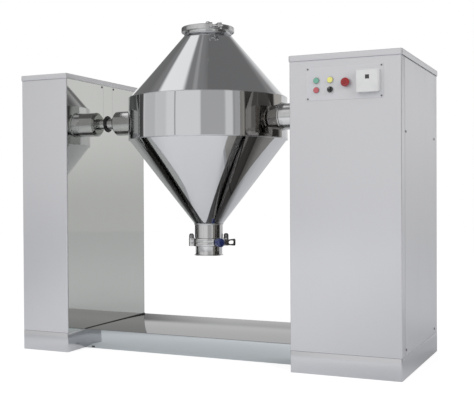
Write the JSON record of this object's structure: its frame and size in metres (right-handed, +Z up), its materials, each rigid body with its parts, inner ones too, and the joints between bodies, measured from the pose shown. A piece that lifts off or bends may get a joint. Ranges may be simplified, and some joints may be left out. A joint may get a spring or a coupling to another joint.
{
  "type": "double cone mixer",
  "caption": "Double cone vessel on trunnions between two steel cabinets, with a clamped manhole lid on top, a butterfly valve below and a control plate.",
  "frame": {"origin": "on the floor under the vessel's middle", "axes": "+X along the trunnion shafts towards the drive cabinet, +Z up, the operator and the control plate at -Y"},
  "size_m": [2.041, 0.8455, 1.7317],
  "materials": {
    "cabinet_steel": "fine satin grind, upright grain",
    "mirror_steel": "mirror-bright stainless sheet",
    "lid_steel": "fine satin grind",
    "bridge_steel": "bright satin stainless sheet",
    "vessel_steel": "polished stainless steel, faint turning grain",
    "boss_steel": "turned and polished stainless steel",
    "shaft_steel": "ground shaft steel",
    "fitting_steel": "polished stainless fittings",
    "frame_paint": "grey primer",
    "drive_paint": "smooth machine enamel",
    "bearing_iron": "painted casting",
    "ring_steel": "ground bearing steel",
    "sprocket_steel": "oiled steel",
    "chain_steel": "oiled steel",
    "screw_steel": "zinc plated",
    "seal_rubber": "matt black",
    "gasket_silicone": "white silicone",
    "gland_plastic": "matt black",
    "gear_plastic": "light grey moulding",
    "contact_plastic": "ivory moulding",
    "plate_steel": "fine satin plate",
    "collar_metal": "polished bezel",
    "timer_plastic": "white moulding",
    "window_plastic": "dark window",
    "hub_plastic": "blue moulding",
    "nut_steel": "domed steel nuts, lightly dulled",
    "green_plastic": "green cap",
    "red_plastic": "red cap",
    "yellow_plastic": "yellow cap",
    "black_plastic": "black knob",
    "stop_plastic": "red mushroom"
  },
  "bodies": {
    "stand": {"base_rails": "frame_paint", "base_crossmembers": "frame_paint", "left_plinth": "cabinet_steel", "right_plinth": "cabinet_steel", "bridge_cover": "bridge_steel", "left_cabinet": "cabinet_steel", "left_inner_panel": "mirror_steel", "left_lid": "lid_steel", "right_cabinet": "cabinet_steel", "right_back_panel": "cabinet_steel", "right_inner_panel": "mirror_steel", "right_side_panel": "cabinet_steel", "right_lid": "lid_steel", "slot_covers": "mirror_steel", "shaft_seals": "seal_rubber", "left_column": "frame_paint", "right_column": "frame_paint", "left_bearing_block": "bearing_iron", "right_bearing_block": "bearing_iron", "bearing_bolts": "screw_steel", "drive_shelf": "frame_paint", "gearbox_housing": "drive_paint", "motor": "drive_paint", "drive_chain": "chain_steel", "switchgear": "gear_plastic", "cable_gland": "gland_plastic", "control_plate": "plate_steel", "button_collars": "collar_metal", "contact_blocks": "contact_plastic", "timer_case": "timer_plastic", "timer_window": "window_plastic", "panel_screws": "screw_steel"},
    "vessel": {"upper_cone": "vessel_steel", "vessel_belt": "vessel_steel", "lower_cone": "vessel_steel", "left_trunnion": "boss_steel", "right_trunnion": "boss_steel", "left_shaft": "shaft_steel", "right_shaft": "shaft_steel", "bearing_rings": "ring_steel", "shaft_sprocket": "sprocket_steel", "manhole_neck": "fitting_steel", "manhole_gasket": "gasket_silicone", "valve_upper_half": "fitting_steel", "valve_seal": "gasket_silicone", "valve_lower_half": "fitting_steel", "valve_bolts": "nut_steel"},
    "manhole_cover": {"manhole_lid": "fitting_steel", "lid_clamp": "fitting_steel"},
    "swing_bolt": {"clamp_bolt": "fitting_steel"},
    "butterfly": {"valve_disc": "fitting_steel", "handle_hub": "hub_plastic", "handle_lever": "fitting_steel"},
    "gearbox_output": {"gearbox_shaft": "shaft_steel", "drive_sprocket": "sprocket_steel"},
    "green_push": {"green_button": "green_plastic"},
    "red_push": {"red_button": "red_plastic"},
    "yellow_push": {"yellow_button": "yellow_plastic"},
    "selector": {"selector_knob": "black_plastic"},
    "stop": {"stop_mushroom": "stop_plastic"}
  },
  "joints": [
    {"name": "vessel_spin", "type": "hinge", "parent": "stand", "child": "vessel", "pos_m": [0, 0, 1.212], "axis": [1, 0, 0], "continuous": true},
    {"name": "output_spin", "type": "hinge", "parent": "stand", "child": "gearbox_output", "pos_m": [0.751, 0, 0.572], "axis": [1, 0, 0], "continuous": true},
    {"name": "lid_lift", "type": "slide", "parent": "vessel", "child": "manhole_cover", "axis": [0, 0, 1], "range_m": [0, 0.25]},
    {"name": "clamp_bolt_swing", "type": "hinge", "parent": "manhole_cover", "child": "swing_bolt", "pos_m": [0.08011, -0.13071, 1.683], "axis": [0, 0, -1], "range_deg": [0, 110]},
    {"name": "valve_turn", "type": "hinge", "parent": "vessel", "child": "butterfly", "pos_m": [0, 0, 0.566], "axis": [-0.848, 0.5299, 0], "range_deg": [0, 90]},
    {"name": "green_press", "type": "slide", "parent": "stand", "child": "green_push", "axis": [0, 1, 0], "range_m": [0, 0.0035], "stiffness_N_per_m": 400, "springref_m": -0.002},
    {"name": "red_press", "type": "slide", "parent": "stand", "child": "red_push", "axis": [0, 1, 0], "range_m": [0, 0.0035], "stiffness_N_per_m": 400, "springref_m": -0.002},
    {"name": "yellow_press", "type": "slide", "parent": "stand", "child": "yellow_push", "axis": [0, 1, 0], "range_m": [0, 0.0035], "stiffness_N_per_m": 400, "springref_m": -0.002},
    {"name": "selector_turn", "type": "hinge", "parent": "stand", "child": "selector", "pos_m": [0.8025, -0.3935, 1.286], "axis": [0, 1, 0], "range_deg": [-45, 45]},
    {"name": "stop_press", "type": "slide", "parent": "stand", "child": "stop", "axis": [0, 1, 0], "range_m": [0, 0.005]}
  ],
  "couplings": [
    {"joint": "output_spin", "follows": "vessel_spin", "ratio": 3}
  ]
}
